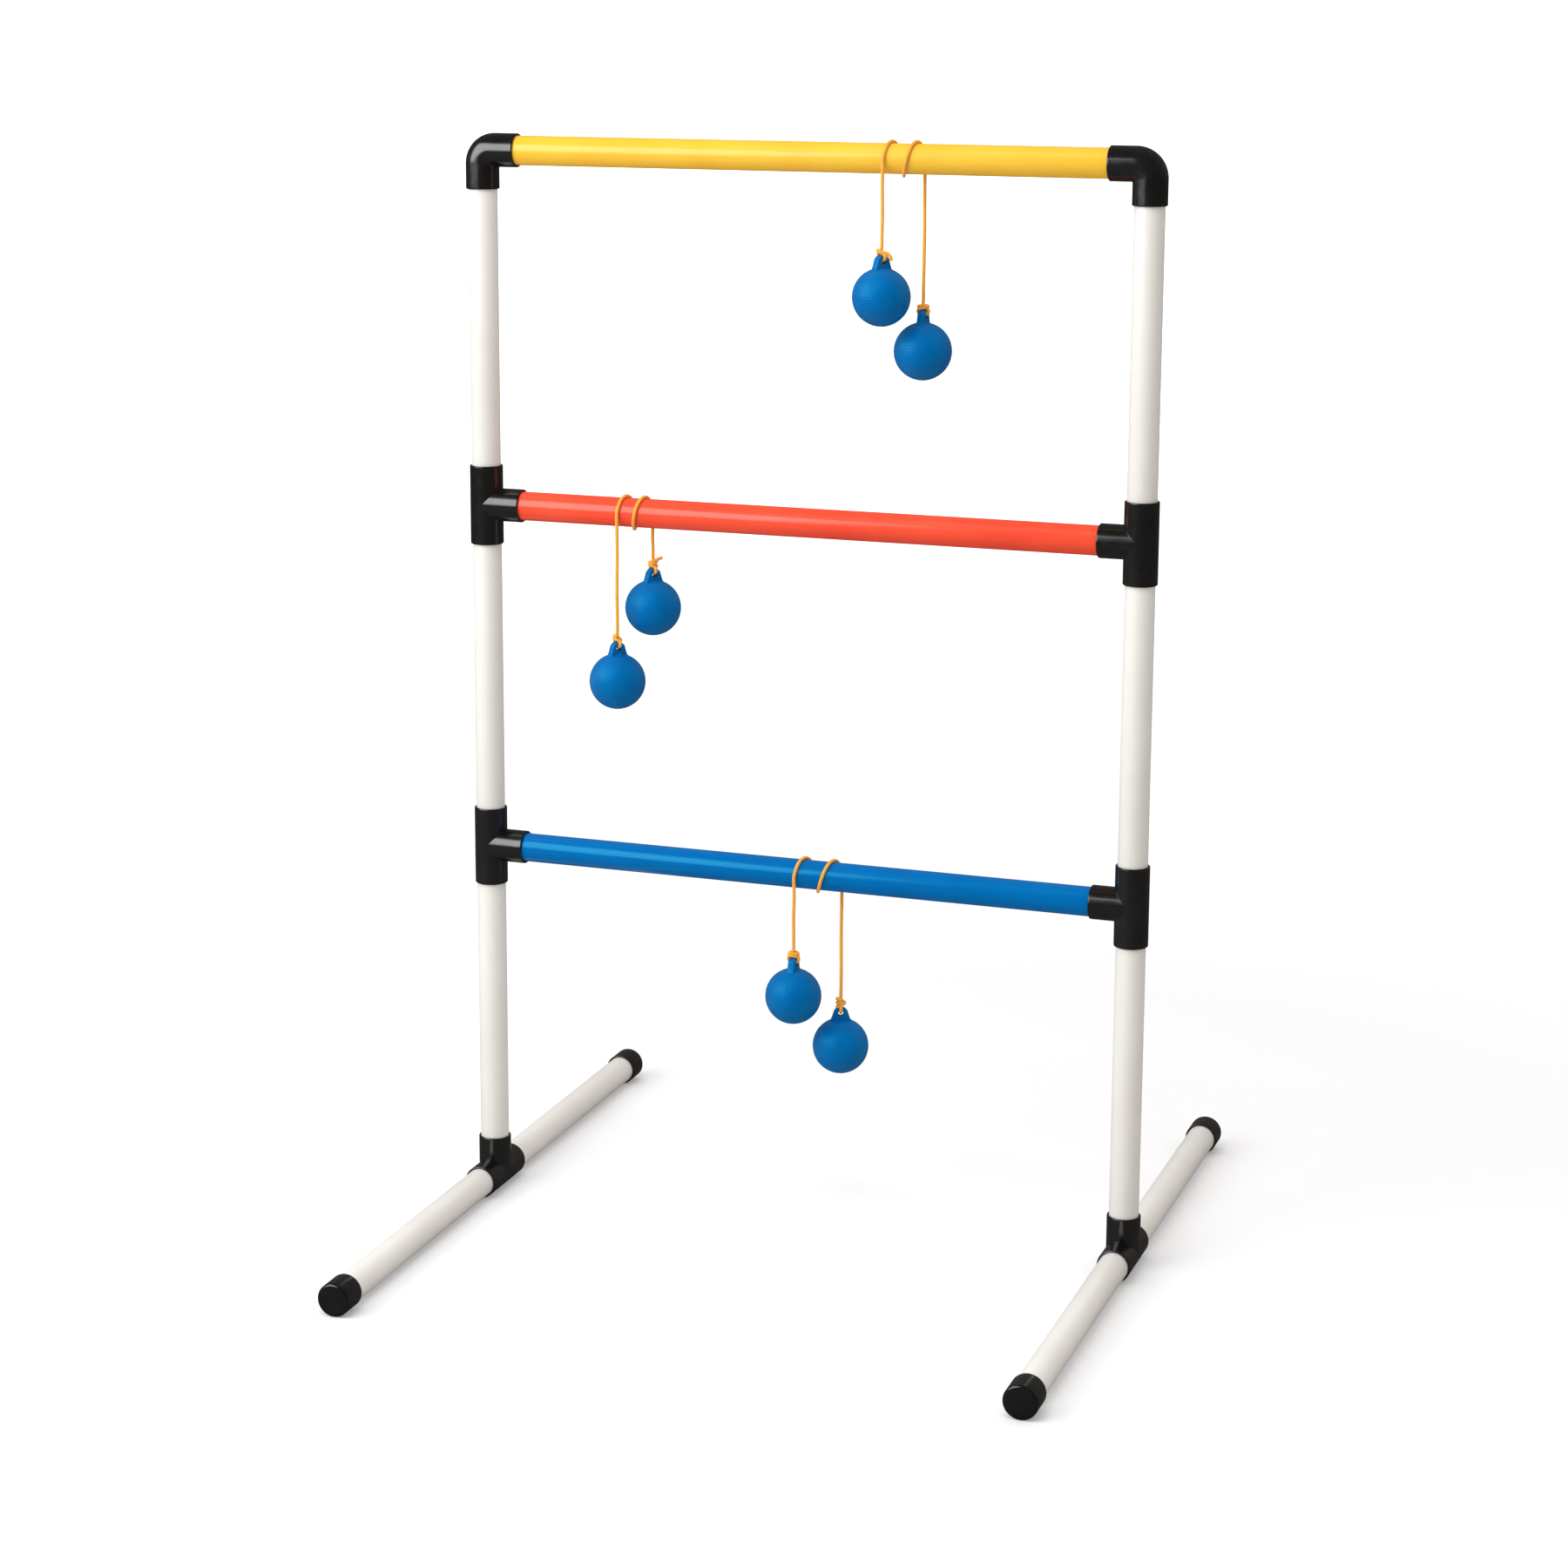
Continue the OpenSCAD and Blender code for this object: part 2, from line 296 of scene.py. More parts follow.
class Shader(Nodes):
    """A procedural material on one Principled shader."""

    def __init__(self, name):
        self.material = bpy.data.materials.new(name)
        self.material.use_nodes = True
        super().__init__(self.material.node_tree)
        self.principled = self.tree.nodes["Principled BSDF"]
        self.where = self.node("ShaderNodeTexCoord").outputs["Object"]

    def set(self, **values):
        """Sets the shader's own inputs; an underscore in a name stands for a space."""
        for key, value in values.items():
            self.feed(self.principled.inputs[key.replace("_", " ")], value)

    def stretched(self, scale):
        """Object coordinates scaled per axis."""
        mapping = self.node("ShaderNodeMapping")
        mapping.inputs["Scale"].default_value = scale
        self.link(self.where, mapping.inputs["Vector"])
        return mapping.outputs["Vector"]

    def noise(self, scale, detail=4.0, rough=0.55, vector=None):
        made = self.node("ShaderNodeTexNoise")
        made.inputs["Scale"].default_value = scale
        made.inputs["Detail"].default_value = detail
        made.inputs["Roughness"].default_value = rough
        self.link(vector or self.where, made.inputs["Vector"])
        return made.outputs["Fac"]

    def bump(self, height, depth, normal=None):
        made = self.node("ShaderNodeBump")
        made.inputs["Distance"].default_value = depth
        self.link(height, made.inputs["Height"])
        if normal is not None:
            self.link(normal, made.inputs["Normal"])
        return made.outputs["Normal"]

    def finish(self, colour, roughness, normal):
        self.set(Base_Color=colour, Roughness=roughness, Normal=normal)
        return self.material


def tube_plastic(name, colour, shade, roughness, axis, gloss_tint=(1, 1, 1)):
    """Extruded tube: faint draw lines along axis, cloudy tone and handling marks."""
    s = Shader(name)
    s.set(Specular_IOR_Level=0.62, Specular_Tint=gloss_tint)
    along = [900, 900, 900]
    along[axis] = 5
    lines = s.noise(1.0, detail=3, rough=0.6, vector=s.stretched(along))
    cloud = s.noise(14, rough=0.6)
    marks = s.noise(130, detail=6, rough=0.7)
    tone = s.mix(s.ramp(cloud, 0, 1, start=0.35, stop=0.7), colour, shade)
    tone = s.mix(s.ramp(lines, 0, 0.35, start=0.45, stop=0.8), tone, shade)
    rough = s.ramp(marks, roughness * 0.93, roughness * 1.12, start=0.3, stop=0.7)
    normal = s.bump(lines, 0.02 * MM, s.bump(marks, 0.01 * MM))
    return s.finish(tone, rough, normal)


def moulded_black(name, dust, gloss, grain):
    """Moulded fitting: fine spark texture, dusty patches and paler rubbed edges."""
    s = Shader(name)
    s.set(Specular_IOR_Level=gloss)
    rounded = s.node("ShaderNodeBevel", samples=6)
    rounded.inputs["Radius"].default_value = 0.5 * MM
    rounded = rounded.outputs["Normal"]
    geometry = s.node("ShaderNodeNewGeometry")
    facing = s.vector("DOT_PRODUCT", rounded, geometry.outputs["Normal"])
    edge = s.ramp(facing, 1, 0, start=0.72, stop=0.99)
    patches = s.noise(38, detail=6, rough=0.65)
    tone = s.mix(s.ramp(patches, 0, 1, start=0.42, stop=0.75), BLACK, dust)
    worn = s.calculate("MULTIPLY", edge, s.ramp(patches, 0.2, 0.75, start=0.3, stop=0.7))
    tone = s.mix(worn, tone, [2.2 * c for c in dust])
    smoother, rougher = BLACK_ROUGHNESS * 0.85, BLACK_ROUGHNESS * 1.25
    rough = s.ramp(s.noise(160, detail=5), smoother, rougher, start=0.3, stop=0.7)
    spark = s.noise(2600, detail=3, rough=0.6)
    return s.finish(tone, rough, s.bump(spark, grain, rounded))


def ball_rubber():
    """Blue rubber: paler bloom in patches, a satin skin and a faint mould seam."""
    s = Shader("ball_rubber")
    s.set(Specular_Tint=BALL_GLOSS)
    bloom = s.noise(60, detail=5, rough=0.6)
    tone = s.mix(s.ramp(bloom, 0, 1, start=0.4, stop=0.75), BALL_BLUE, BALL_BLOOM)
    seam = s.ramp(s.calculate("ABSOLUTE", s.y_part(s.where)), 1, 0, stop=0.45 * MM)
    tone = s.mix(s.calculate("MULTIPLY", seam, 0.35), tone, BALL_SEAM)
    rough = s.ramp(s.noise(300), 0.27, 0.38, start=0.3, stop=0.7)
    skin = s.bump(s.noise(1500, detail=3), 0.02 * MM)
    return s.finish(tone, rough, s.bump(seam, 0.12 * MM, skin))


def cord_braid():
    """Braided cord: painted shade darkens the crevices between its strands, with fine fibres."""
    s = Shader("orange_cord")
    s.set(Sheen_Weight=0.12, Sheen_Roughness=0.4)
    weave_shade = s.node("ShaderNodeAttribute", attribute_name="weave_shade").outputs["Fac"]
    fibres = s.noise(4200, detail=3, rough=0.7)
    # Painted shade: the colour goes darker towards the crevices between the strands, following the braid's
    # height
    tone = s.mix(s.ramp(weave_shade, 0, 1, stop=0.75), CORD_CREVICE_SHADE, CORD_CROWN)
    faded = s.ramp(s.noise(240, detail=3), 0, 0.5, start=0.4, stop=0.7)
    tone = s.mix(faded, tone, CORD_FADED)
    rough = s.ramp(fibres, 0.5, 0.8, start=0.3, stop=0.7)
    return s.finish(tone, rough, s.bump(fibres, 0.05 * MM))


def stage_white():
    """The pale floor: brighter to the camera than to the object, so that it doesn't wash it out."""
    s = Shader("stage_white")
    s.set(Specular_IOR_Level=0.15, Emission_Color=(1, 1, 1))
    soft = s.noise(0.8, detail=2)
    path = s.node("ShaderNodeLightPath")
    tone = s.mix(soft, FLOOR_SHADE, FLOOR_WHITE)
    tone = s.mix(path.outputs["Is Glossy Ray"], tone, FLOOR_IN_REFLECTIONS)
    tone = s.mix(path.outputs["Is Camera Ray"], tone, FLOOR_TO_CAMERA)
    from_middle = s.vector("LENGTH", s.where)
    far = s.ramp(from_middle, NEAR_FLOOR_GLOW, FAR_FLOOR_GLOW, start=NEAR_FLOOR_R, stop=FAR_FLOOR_R)
    s.set(Emission_Strength=s.calculate("MULTIPLY", path.outputs["Is Camera Ray"], far))
    return s.finish(tone, s.ramp(soft, 0.7, 0.8), s.bump(soft, 0.01 * MM))


WHITE_TUBE = {
    1: tube_plastic("white_tube_y", WHITE, WHITE_SHADE, 0.34, axis=1),
    2: tube_plastic("white_tube_z", WHITE, WHITE_SHADE, 0.34, axis=2),
}
RUNG_PAINT = {
    "top": tube_plastic("yellow_tube", YELLOW, YELLOW_SHADE, 0.23, axis=0),
    "middle": tube_plastic("red_tube", RED, RED_SHADE, 0.22, axis=0),
    "bottom": tube_plastic("blue_tube", BLUE, BLUE_SHADE, 0.20, axis=0, gloss_tint=BLUE_GLOSS),
}
BLACK_FITTING = moulded_black("black_fitting", FITTING_DUST, gloss=1.3, grain=0.007 * MM)
BLACK_CAP = moulded_black("black_cap", CAP_DUST, gloss=0.9, grain=0.010 * MM)
RUBBER = ball_rubber()
BRAID = cord_braid()

# ---------------------------------------------------------------------------------- hard pieces


def lathe_placement(start, direction):
    """Puts a lathe's base at start and turns its Z to direction."""
    turn = direction.to_track_quat("Z", "Y").to_matrix().to_4x4()
    return Matrix.Translation(start) @ turn


def long_axis(node):
    low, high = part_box(node)
    size = high - low
    return max(range(3), key=lambda i: size[i])


def tube(node, body, material):
    """A tube with sawn ends, their edges just broken, hollow right through."""
    low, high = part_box(node)
    size = high - low
    axis = long_axis(node)
    radius, length = min(size) / 2, size[axis]
    inner = radius - TUBE_WALL
    ease = SAWN_EDGE_R
    direction = Vector([1.0 if i == axis else 0.0 for i in range(3)])
    profile = arc(radius - ease, length - ease, ease, 0, 90, 3)
    profile += arc(inner + ease, length - ease, ease, 90, 180, 3)
    profile += arc(inner + ease, ease, ease, 180, 270, 3)
    profile += arc(radius - ease, ease, ease, 270, 360, 3)
    placement = lathe_placement((low + high) / 2 - direction * length / 2, direction)
    piece = lathe(f"{node}_look", profile, placement, material)
    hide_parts(node)
    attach(piece, body)


def foot_cap(node, body, outward):
    """A slip-over cap: rolled mouth, soft shoulder and a very slightly domed end."""
    low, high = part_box(node)
    radius = (high.x - low.x) / 2
    length = high.y - low.y
    mouth_y = low.y if outward > 0 else high.y
    start = Vector(((low.x + high.x) / 2, mouth_y, (low.z + high.z) / 2))
    inner = radius - CAP_WALL
    flat_r = radius - CAP_SHOULDER_R
    mouth_r = CAP_INNER_LIP_R
    # The dome from the axis outward, the shoulder, the side and the rolled mouth
    profile = [(0, length), (radius * 0.4, length - 0.03 * MM)]
    profile += [(flat_r - 1.5 * MM, length - 0.12 * MM)]
    profile += arc(flat_r, length - CAP_DOME - CAP_SHOULDER_R, CAP_SHOULDER_R, 84, 0, 8)
    profile += [(radius - CAP_WAIST, length / 2)]
    profile += arc(radius - CAP_LIP_R, CAP_LIP_R, CAP_LIP_R, 0, -90, 5)
    profile += arc(inner + mouth_r, mouth_r, mouth_r, 270, 180, 4)
    profile += [(inner, length - CAP_END), (0, length - CAP_END)]
    piece = lathe(f"{node}_look", profile, lathe_placement(start, Vector((0, outward, 0))), BLACK_CAP)
    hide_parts(node)
    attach(piece, body)


for side in SIDES:
    for place in LEVELS:
        node = f"{side}_{place}_upright"
        tube(node, "frame", WHITE_TUBE[long_axis(node)])
    for place, outward in (("front", -1), ("rear", 1)):
        node = f"{side}_{place}_foot_tube"
        tube(node, f"{side}_foot", WHITE_TUBE[long_axis(node)])
        foot_cap(f"{side}_{place}_cap", f"{side}_foot", outward)
    for fitting in ("elbow", "upper_tee", "lower_tee", "base_tee"):
        slots = frame["nodes"][f"{side}_{fitting}"].material_slots
        slots[0].material = BLACK_FITTING
for level in LEVELS:
    tube(f"{level}_rung", "frame", RUNG_PAINT[level])

# ----------------------------------------------------------------------------------------- balls

# The angle between neighbouring corners of an icosahedron, in radians
ICOSAHEDRON_EDGE = 1.107


def icosahedron():
    """Corner directions and faces of an icosahedron with one corner straight up."""
    ring_z, ring_r = 1 / math.sqrt(5), 2 / math.sqrt(5)
    corners = [Vector((0, 0, 1))]
    for z, offset in ((ring_z, 0), (-ring_z, 36)):
        for i in range(5):
            a = math.radians(72 * i + offset)
            corners.append(Vector((ring_r * math.cos(a), ring_r * math.sin(a), z)))
    corners.append(Vector((0, 0, -1)))
    faces = []
    for i in range(5):
        j = (i + 1) % 5
        faces += [(0, 1 + i, 1 + j), (1 + i, 6 + i, 1 + j), (1 + j, 6 + i, 6 + j), (11, 6 + j, 6 + i)]
    return corners, faces


def geodesic(frequency):
    """Unit sphere points and triangles: each icosahedron face split frequency times."""
    corners, big_faces = icosahedron()
    points, index, triangles = [], {}, []

    def point(big_face, i, j):
        a, b, c = (corners[k] for k in big_face)
        where = (a * i + b * j + c * (frequency - i - j)).normalized()
        key = tuple(round(q, 6) for q in where)
        if key not in index:
            index[key] = len(points)
            points.append(where)
        return index[key]

    for face in big_faces:
        for i in range(frequency):
            for j in range(frequency - i):
                triangles.append((point(face, i, j), point(face, i + 1, j), point(face, i, j + 1)))
                if i + j < frequency - 1:
                    beside = (point(face, i + 1, j), point(face, i + 1, j + 1), point(face, i, j + 1))
                    triangles.append(beside)
    return np.array([tuple(p) for p in points]), triangles


def pimpled_sphere():
    """The ball's skin, with a pimple on every fifth mesh point, smooth round the lug."""
    points, triangles = geodesic(PIMPLE_ROWS * MESH_PER_PIMPLE)
    centres, _ = geodesic(PIMPLE_ROWS)
    tree = KDTree(len(centres))
    for i, centre in enumerate(centres):
        tree.insert(centre, i)
    tree.balance()
    to_centre = np.array([tree.find(p)[2] for p in points])
    pimple_r = PIMPLE_SPREAD * ICOSAHEDRON_EDGE / PIMPLE_ROWS
    dome = 0.5 + 0.5 * np.cos(np.clip(to_centre / pimple_r, 0, 1) * math.pi)
    from_lug = np.hypot(points[:, 0], points[:, 1]) * BALL_R
    fade = np.clip((from_lug - SMOOTH_CAP_R) / SMOOTH_CAP_FADE, 0, 1)
    fade = np.where(points[:, 2] < 0, 1.0, fade * fade * (3 - 2 * fade))
    radius = BALL_R + PIMPLE_HEIGHT * (dome - PIMPLE_SUNK_SHARE) * fade
    return points * radius[:, None], triangles


def lug_outline(rise):
    """The lug's side view as (across, up) points: a round top and a stem that flares out."""
    centre_z = rise + EYE_DEPTH - LUG_TOP_R
    top_steps, stem_steps = 20, 8
    points = []
    for i in range(top_steps + 1):
        a = math.radians(LUG_TOP_STARTS + (180 - 2 * LUG_TOP_STARTS) * i / top_steps)
        points.append((LUG_TOP_R * math.cos(a), centre_z + LUG_TOP_R * math.sin(a)))
    top_w, top_z = -points[-1][0], points[-1][1]
    foot_w, foot_z = LUG_BASE_W / 2, BALL_R - LUG_SINKS_IN
    left = []
    for i in range(1, stem_steps + 1):
        t = i / stem_steps
        spread = top_w + (foot_w - top_w) * t + LUG_FLARE * t**5
        left.append((-spread, top_z + (foot_z - top_z) * t))
    left.append((-foot_w - LUG_FLARE, foot_z - LUG_SINKS_IN))
    return points + left + [(-a, b) for a, b in reversed(left)]


def circle(radius, centre_up, steps=32):
    """A ring of (across, up) points."""
    angles = [2 * math.pi * i / steps for i in range(steps)]
    return [(math.cos(a) * radius, math.sin(a) * radius + centre_up) for a in angles]


def closed_spline(curve, points):
    spline = curve.splines.new("POLY")
    spline.points.add(len(points) - 1)
    for target, (a, b) in zip(spline.points, points):
        target.co = (a, b, 0, 1)
    spline.use_cyclic_u = True


def welded(mesh, distance):
    """A bmesh copy of mesh, with points closer than distance joined."""
    made = bmesh.new()
    made.from_mesh(mesh)
    bmesh.ops.remove_doubles(made, verts=made.verts, dist=distance)
    return made


def lug_mesh(rise):
    """The lug as a rounded slab with its eye, from a filled curve."""
    curve = bpy.data.curves.new("lug", "CURVE")
    curve.dimensions = "2D"
    curve.fill_mode = "BOTH"
    curve.extrude = LUG_THICKNESS / 2 - LUG_EDGE_R
    curve.bevel_depth = LUG_EDGE_R
    curve.bevel_resolution = 3
    curve.offset = -LUG_EDGE_R
    closed_spline(curve, lug_outline(rise))
    closed_spline(curve, circle(EYE_R, rise))
    holder = add_object("lug", curve)
    mesh = baked_mesh(holder)
    bpy.data.objects.remove(holder)
    mesh.transform(Matrix.Rotation(math.radians(90), 4, "X"))
    weld = welded(mesh, 0.01 * MM)
    bmesh.ops.recalc_face_normals(weld, faces=weld.faces)
    weld.to_mesh(mesh)
    weld.free()
    return mesh


def by_the_lug_foot(place, rise):
    """Whether a point is close to the line where the lug meets the ball, and clear of the eye."""
    on_skin = abs(place.length - BALL_R) < FILLET_REACH and place.z > 0
    in_thickness = abs(place.y) < LUG_THICKNESS / 2 + FILLET_REACH
    in_width = abs(place.x) < LUG_BASE_W / 2 + FILLET_BESIDE
    off_eye = math.hypot(place.x, place.z - rise) > EYE_R + EYE_RIM
    return on_skin and in_thickness and in_width and off_eye


def ball_mesh():
    """Ball and lug joined into one skin, with a small fillet where they meet."""
    rise = JOINTS["top_front_ball_rock"]["pos_m"][2] - (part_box("top_front_ball")[0].z + BALL_R)
    points, triangles = pimpled_sphere()
    ball = mesh_object("ball_skin", points, triangles, RUBBER)
    lug = add_object("lug_skin", lug_mesh(rise))
    join = ball.modifiers.new("join", "BOOLEAN")
    join.operation = "UNION"
    join.solver = "EXACT"
    join.object = lug
    mesh = baked_mesh(ball)
    bpy.data.objects.remove(ball)
    bpy.data.objects.remove(lug)
    mesh.materials.clear()
    mesh.materials.append(RUBBER)
    soften = welded(mesh, 0.02 * MM)
    near = [v for v in soften.verts if by_the_lug_foot(v.co, rise)]
    for _ in range(FILLET_PASSES):
        bmesh.ops.smooth_vert(
            soften, verts=near, factor=0.5, use_axis_x=True, use_axis_y=True, use_axis_z=True
        )
    soften.to_mesh(mesh)
    soften.free()
    for polygon in mesh.polygons:
        polygon.use_smooth = True
    return mesh


BALL_MESH = ball_mesh()

for level in LEVELS:
    for end in ("front", "back"):
        node = f"{level}_{end}_ball"
        rock = JOINTS[f"{node}_rock"]
        low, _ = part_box(node)
        centre = Vector((rock["pos_m"][0], rock["pos_m"][1], low.z + BALL_R))
        axis = Vector(rock["axis"])
        turn = math.atan2(-axis.x, axis.y)
        piece = add_object(f"{node}_look", BALL_MESH)
        piece.matrix_world = Matrix.Translation(centre) @ Matrix.Rotation(turn, 4, "Z")
        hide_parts(node)
        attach(piece, f"{node}_body")

# ----------------------------------------------------------------------------------------- cords

# Each end's knot: turns round the cord and how far each climbs, how far its lobes stand out, how
# far the turns tilt and towards which side, and the tail's heading, length, rise and sag. Lengths
# are in mm. Headings are degrees seen from above: 0 along the rung, 90 away from the player.
KNOTS = {
    "top_front": {
        "turns": 1, "climb": 0.6, "lobes": 1.0, "tilt": 2.0, "high_side": 200,
        "heading": 5, "tail": 12.0, "rise": -0.6, "sag": 6.5,
    },
    "top_back": {
        "turns": 1, "climb": 2.0, "lobes": 1.5, "tilt": 0.5, "high_side": 20,
        "heading": 25, "tail": 1.4, "rise": 0.3, "sag": 0.0,
    },
    "middle_front": {
        "turns": 1, "climb": 2.4, "lobes": 0.5, "tilt": 1.2, "high_side": 200,
        "heading": 10, "tail": 0.8, "rise": -0.4, "sag": 0.0,
    },
    "middle_back": {
        "turns": 2, "climb": 2.3, "lobes": 0.8, "tilt": 1.5, "high_side": 200,
        "heading": 22, "tail": 8.5, "rise": 2.6, "sag": -0.6,
    },
    "bottom_front": {
        "turns": 1, "climb": 1.9, "lobes": 1.4, "tilt": 0.8, "high_side": 200,
        "heading": 215, "tail": 1.2, "rise": 0.9, "sag": 0.0,
    },
    "bottom_back": {
        "turns": 2, "climb": 2.3, "lobes": 0.8, "tilt": 1.5, "high_side": 20,
        "heading": 15, "tail": 2.0, "rise": 1.6, "sag": 0.0,
    },
}

# The loop through the eye, as (across the lug, along the eye, up) from the eye's centre, in mm.
# It comes down the cord, leans over the lug's edge and dips into the eye.
CORD_ABOVE_LUG = [(0, 0, 17), (0, 0, 13), (0, 0.4, 9.6), (0, 1.0, 7.9), (0, 0.2, 6.8), (0, -1.9, 6.5)]
LOOP_SIDE = [(0, -3.7, 5.8), (0, -4.5, 4.7), (0, -4.6, 3.4), (0, -4.1, 2.2), (0, -3.0, 1.3), (0, -1.6, 1.0)]
LOOP_LOWEST = (0, 0, 0.95)

# The turns of a knot: radius and first height in mm, the heading of their lobes, and where the
# loop comes up, in degrees round the cord
KNOT_TURN_R = 2.45
KNOT_BASE = 6.4
KNOT_LOBE_HEADING = 20
KNOT_STARTS = 90
KNOT_STEP = 30


def smooth_path(points, per_span=12):
    """A Catmull-Rom curve through points, sampled evenly within each span."""
    p = np.array(points, float)
    p = np.vstack([2 * p[0] - p[1], p, 2 * p[-1] - p[-2]])
    t = np.linspace(0, 1, per_span, endpoint=False)[:, None]
    spans = []
    for a, b, c, d in zip(p, p[1:], p[2:], p[3:]):
        squared, cubed = 2 * a - 5 * b + 4 * c - d, 3 * b - a - 3 * c + d
        spans.append(0.5 * ((2 * b) + (c - a) * t + squared * t**2 + cubed * t**3))
    return np.vstack(spans + [p[-2:-1]])


def even_steps(path, step):
    """The same path, with its points step apart, and each point's distance along it."""
    gaps = np.linalg.norm(np.diff(path, axis=0), axis=1)
    along = np.concatenate([[0], np.cumsum(gaps)])
    count = int(along[-1] / step)
    wanted = np.linspace(0, along[-1], count + 1)
    return np.stack([np.interp(wanted, along, path[:, i]) for i in range(3)], axis=1), wanted


def carried_frames(path):
    """Two cross directions at each point of the path, carried along it without twist."""
    along = np.gradient(path, axis=0)
    along /= np.linalg.norm(along, axis=1)[:, None]
    off_the_path = (0.3, 0.2, 0.9)
    first = np.cross(along[0], off_the_path)
    across = [first / np.linalg.norm(first)]
    for i in range(1, len(path)):
        turned = across[-1] - along[i] * (across[-1] @ along[i])
        across.append(turned / np.linalg.norm(turned))
    across = np.array(across)
    return across, np.cross(along, across)


def braid_height(distance, angle):
    """0 in the crevices to 1 on the crowns of a plain braid."""
    turn = angle * BRAID_STRANDS / (2 * math.pi)
    step = distance / BRAID_PITCH
    left, right = turn + step, turn - step
    over = np.sin(math.pi * left) * np.sin(math.pi * right)
    crown_left = 1 - (2 * (left % 1) - 1) ** 2
    crown_right = 1 - (2 * (right % 1) - 1) ** 2
    return np.where(over > 0, crown_left, crown_right)


def knot_points(turn, turns, climb, lobes, tilt, high_side, heading, tail, rise, sag):
    """From the straight cord down through the eye, back up, round the cord and out.

    (across the lug, along the eye, up), in millimetres from the eye's centre. turn is the lug's
    own heading in degrees.
    """
    far_side = [(a, -b, c) for a, b, c in reversed(LOOP_SIDE)]
    through = CORD_ABOVE_LUG + LOOP_SIDE + [LOOP_LOWEST] + far_side
    leave = heading - turn - 90
    while leave < KNOT_STARTS + 360 * turns:
        leave += 360
    coil = []
    wound = leave - KNOT_STARTS
    winds = int(wound / KNOT_STEP)
    for i in range(1, winds + 1):
        share = i / winds
        a = math.radians(KNOT_STARTS + wound * share)
        seen = a + math.radians(turn)
        spread = KNOT_TURN_R + lobes * math.cos(seen - math.radians(KNOT_LOBE_HEADING)) ** 2
        lean = tilt * math.cos(seen - math.radians(high_side)) * math.cos(math.pi * share * (turns - 1))
        height = KNOT_BASE + climb * wound / 360 * share + lean
        coil.append((spread * math.cos(a), spread * math.sin(a), height))
    out = Vector((-math.sin(math.radians(leave)), math.cos(math.radians(leave)), 0))
    last = Vector(coil[-1])
    # A tail that hangs well down also curls back a little
    curl = 0.25 if sag > 2 else 0
    for i in range(1, 5):
        share = i / 4
        droop = Vector((0, 0, rise * share - sag * share**2.5))
        coil.append(tuple(last + out * tail * (share - curl * share**3) + droop))
    return through + coil


def end_path(level, end, rung_z):
    """World points from the rung down to the tail's tip."""
    rock = JOINTS[f"{level}_{end}_ball_rock"]
    eye = Vector(rock["pos_m"])
    n = Vector(rock["axis"]).normalized()
    across = n.cross(Vector((0, 0, 1)))
    turn = math.degrees(math.atan2(-n.x, n.y))
    points = knot_points(turn, **KNOTS[f"{level}_{end}"])
    knot = [eye + (across * a + n * b + Vector((0, 0, c))) * MM for a, b, c in points]
    bottom, top = knot[0].z, rung_z - LEG_STARTS_BELOW
    leg = []
    steps = 7
    for i in range(1, steps):
        share = i / steps
        # A cord is never quite straight, and no two are the same
        sway = LEG_SWAY * math.sin(math.pi * share) * math.sin(7 * share + eye.x * 40)
        leg.append(Vector((eye.x + sway, eye.y + 0.5 * sway, top + (bottom - top) * share)))
    return leg + knot


def wrap_path(front_x, back_x, radius, rung_z):
    """World points round the rung from the front end to the back end."""
    points = []
    steps = 54
    for i in range(steps + 1):
        s = i / steps
        a = WRAP_TURN * s
        x = front_x + (back_x - front_x) * (s - WRAP_EASE * math.sin(2 * math.pi * s))
        points.append(Vector((x, -radius * math.cos(a), rung_z + radius * math.sin(a))))
    return points


def cord_piece(name, path, distance, across, up, first, last):
    """The braided skin of one stretch of the cord, from ring first to ring last."""
    rings = np.arange(first, last + 1)
    angle = 2 * math.pi * np.arange(CORD_SIDES) / CORD_SIDES
    height = braid_height(distance[rings][:, None], angle[None, :])
    from_tip = np.minimum(distance[rings], distance[-1] - distance[rings]) / CORD_R
    tip = np.sqrt(np.clip(1 - (1 - np.clip(from_tip, 0, 1)) ** 2, TIP_START, 1))
    radius = (CORD_R + BRAID_RELIEF * (height - BRAID_MEAN_HEIGHT)) * tip[:, None]
    offset = across[rings][:, None, :] * np.cos(angle)[None, :, None]
    offset = offset + up[rings][:, None, :] * np.sin(angle)[None, :, None]
    skin = path[rings][:, None, :] + offset * radius[:, :, None]
    vertices = list(skin.reshape(-1, 3))
    faces = []
    for i in range(len(rings) - 1):
        a, b = i * CORD_SIDES, (i + 1) * CORD_SIDES
        for j in range(CORD_SIDES):
            k = (j + 1) % CORD_SIDES
            faces.append((a + j, a + k, b + k, b + j))
    end = (len(rings) - 1) * CORD_SIDES
    faces.append(tuple(reversed(range(CORD_SIDES))))
    faces.append(tuple(range(end, end + CORD_SIDES)))
    piece = mesh_object(name, vertices, faces, BRAID, (len(faces) - 2, len(faces) - 1))
    # The braid's height at each point, which the cord's material turns into painted shade in the crevices
    weave_shade = piece.data.attributes.new("weave_shade", "FLOAT", "POINT")
    weave_shade.data.foreach_set("value", height.reshape(-1).astype(np.float32))
    return piece


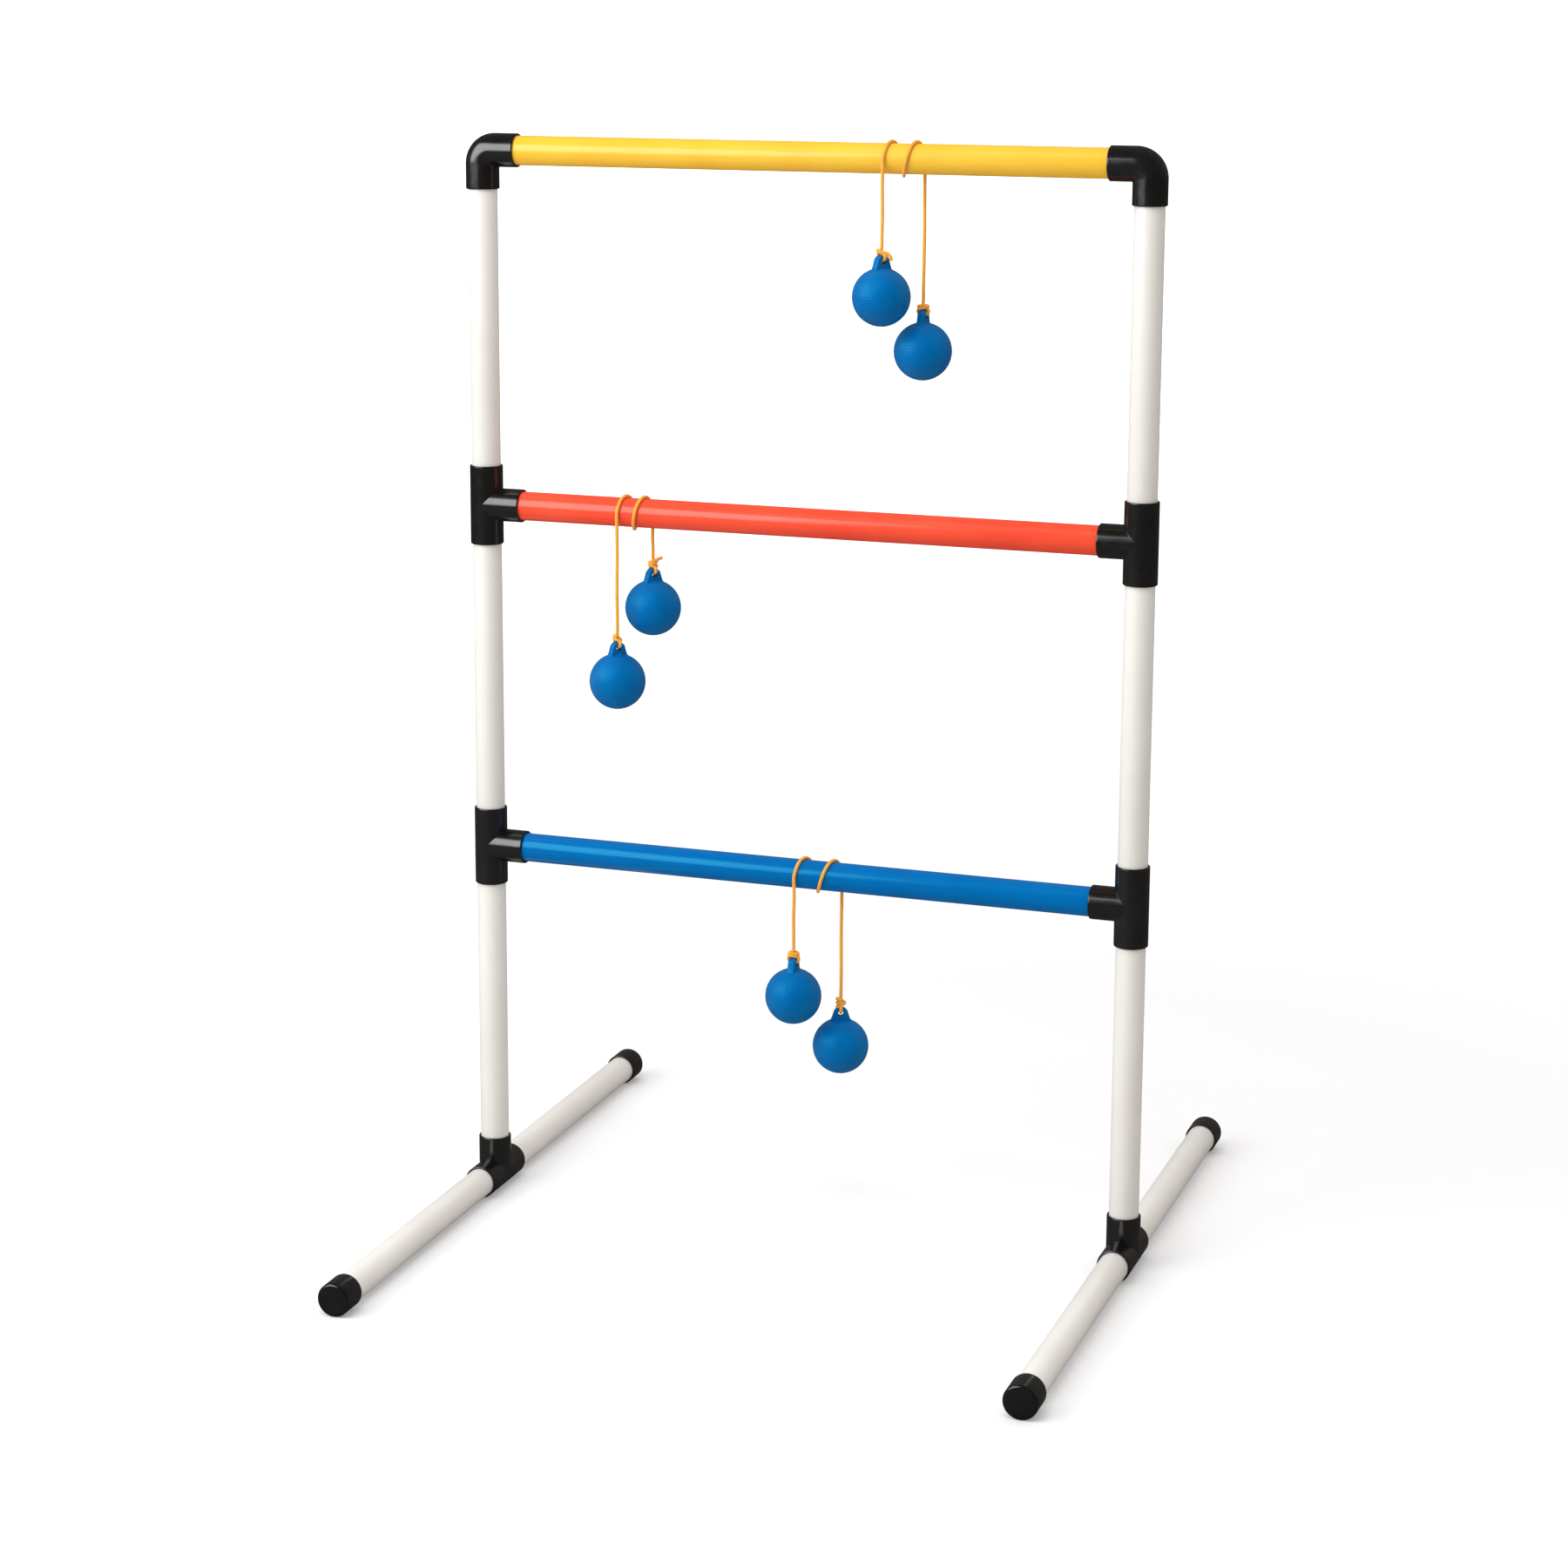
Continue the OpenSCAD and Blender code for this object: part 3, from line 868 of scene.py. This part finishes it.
def bola_cord(level):
    """One cord, built in a single run and cut at its two crests on the rung."""
    low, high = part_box(f"{level}_rung")
    rung_z = (low.z + high.z) / 2
    front = Vector(JOINTS[f"{level}_front_ball_rock"]["pos_m"])
    back = Vector(JOINTS[f"{level}_back_ball_rock"]["pos_m"])
    radius = back.y
    wrap = wrap_path(front.x, back.x, radius, rung_z)
    front_end = list(reversed(end_path(level, "front", rung_z)))
    back_end = end_path(level, "back", rung_z)
    path, distance = even_steps(smooth_path(front_end + wrap + back_end), CORD_STEP)
    across, up = carried_frames(path)
    crests = np.flatnonzero(path[:, 2] > rung_z + radius - CREST_TOLERANCE)
    middle = (front.x + back.x) / 2
    first = int(np.median(crests[path[crests, 0] < middle]))
    second = int(np.median(crests[path[crests, 0] > middle]))
    cuts = {"front": (0, first), "wrap": (first, second), "back": (second, len(path) - 1)}
    made = {
        part: cord_piece(f"{level}_cord_{part}_look", path, distance, across, up, a, b)
        for part, (a, b) in cuts.items()
    }
    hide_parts(f"{level}_cord_wrap")
    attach(made["wrap"], f"{level}_wrap")
    for end, eye in (("front", front), ("back", back)):
        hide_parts(f"{level}_{end}_cord")
        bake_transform(made[end])


for level in LEVELS:
    bola_cord(level)

# ------------------------------------------------------------------------------ stage and camera


def floor():
    """A wide pale floor, lit by its own material so that it fades into the backdrop."""
    r = FLOOR_REACH
    corners = [(-r, -r, 0), (r, -r, 0), (r, r, 0), (-r, r, 0)]
    mesh_object("floor", corners, [(0, 1, 2, 3)], stage_white())


def softbox(name, towards, distance, size, power, in_reflections=True):
    """A large soft light aimed at the middle of the frame."""
    light = bpy.data.lights.new(name, "AREA")
    light.shape = "RECTANGLE"
    light.size, light.size_y = size
    light.energy = power
    holder = add_object(name, light)
    aim = Vector(towards).normalized()
    holder.location = Vector((0, 0, FRAME_MIDDLE_Z)) + aim * distance
    holder.rotation_euler = aim.to_track_quat("Z", "Y").to_euler()
    holder.visible_camera = False
    holder.visible_glossy = in_reflections


def backdrop():
    """A warm room, dim in front of the object, bright behind it and dimmer in reflections.

    The camera itself sees it plain white.
    """
    world = bpy.data.worlds.new("studio")
    world.use_nodes = True
    w = Nodes(world.node_tree)
    background = w.tree.nodes["Background"]
    where = w.node("ShaderNodeTexCoord").outputs["Generated"]
    path = w.node("ShaderNodeLightPath")
    glow = w.ramp(w.y_part(where), ROOM_GLOW, BACKDROP_GLOW, start=BACKDROP_STARTS)
    dimmed = w.calculate("MULTIPLY", glow, GLOSSY_SHARE)
    lighting = w.mix(path.outputs["Is Glossy Ray"], glow, dimmed, "FLOAT")
    strength = w.mix(path.outputs["Is Camera Ray"], lighting, BACKDROP_TO_CAMERA, "FLOAT")
    colour = w.mix(path.outputs["Is Camera Ray"], ROOM_LIGHT, ROOM_TO_CAMERA)
    w.feed(background.inputs["Strength"], strength)
    w.feed(background.inputs["Color"], colour)
    bpy.context.scene.world = world


def camera():
    """Eye level a little over the top rung, to the right, looking down and to the left."""
    yaw, pitch = CAMERA_YAW, CAMERA_PITCH
    ahead = Vector((math.sin(yaw) * math.cos(pitch), math.cos(yaw) * math.cos(pitch), -math.sin(pitch)))
    right = Vector((math.cos(yaw), -math.sin(yaw), 0))
    down = ahead.cross(right)
    data = bpy.data.cameras.new("camera")
    data.sensor_width = 36
    data.lens = CAMERA_LENS
    data.shift_x, data.shift_y = CAMERA_SHIFT
    data.clip_end = 200
    holder = add_object("camera", data)
    turn = Matrix((right, -down, -ahead)).transposed()
    holder.matrix_world = Matrix.Translation(CAMERA_AT) @ turn.to_4x4()
    bpy.context.scene.camera = holder


floor()
softbox("left_softbox", (-0.63, -0.66, 0.44), distance=3.0, size=(2.9, 2.0), power=62)
softbox("top_softbox", (-0.05, -0.45, 0.89), distance=2.8, size=(1.8, 1.2), power=30, in_reflections=False)
backdrop()
camera()
bpy.context.scene.view_settings.view_transform = "Standard"
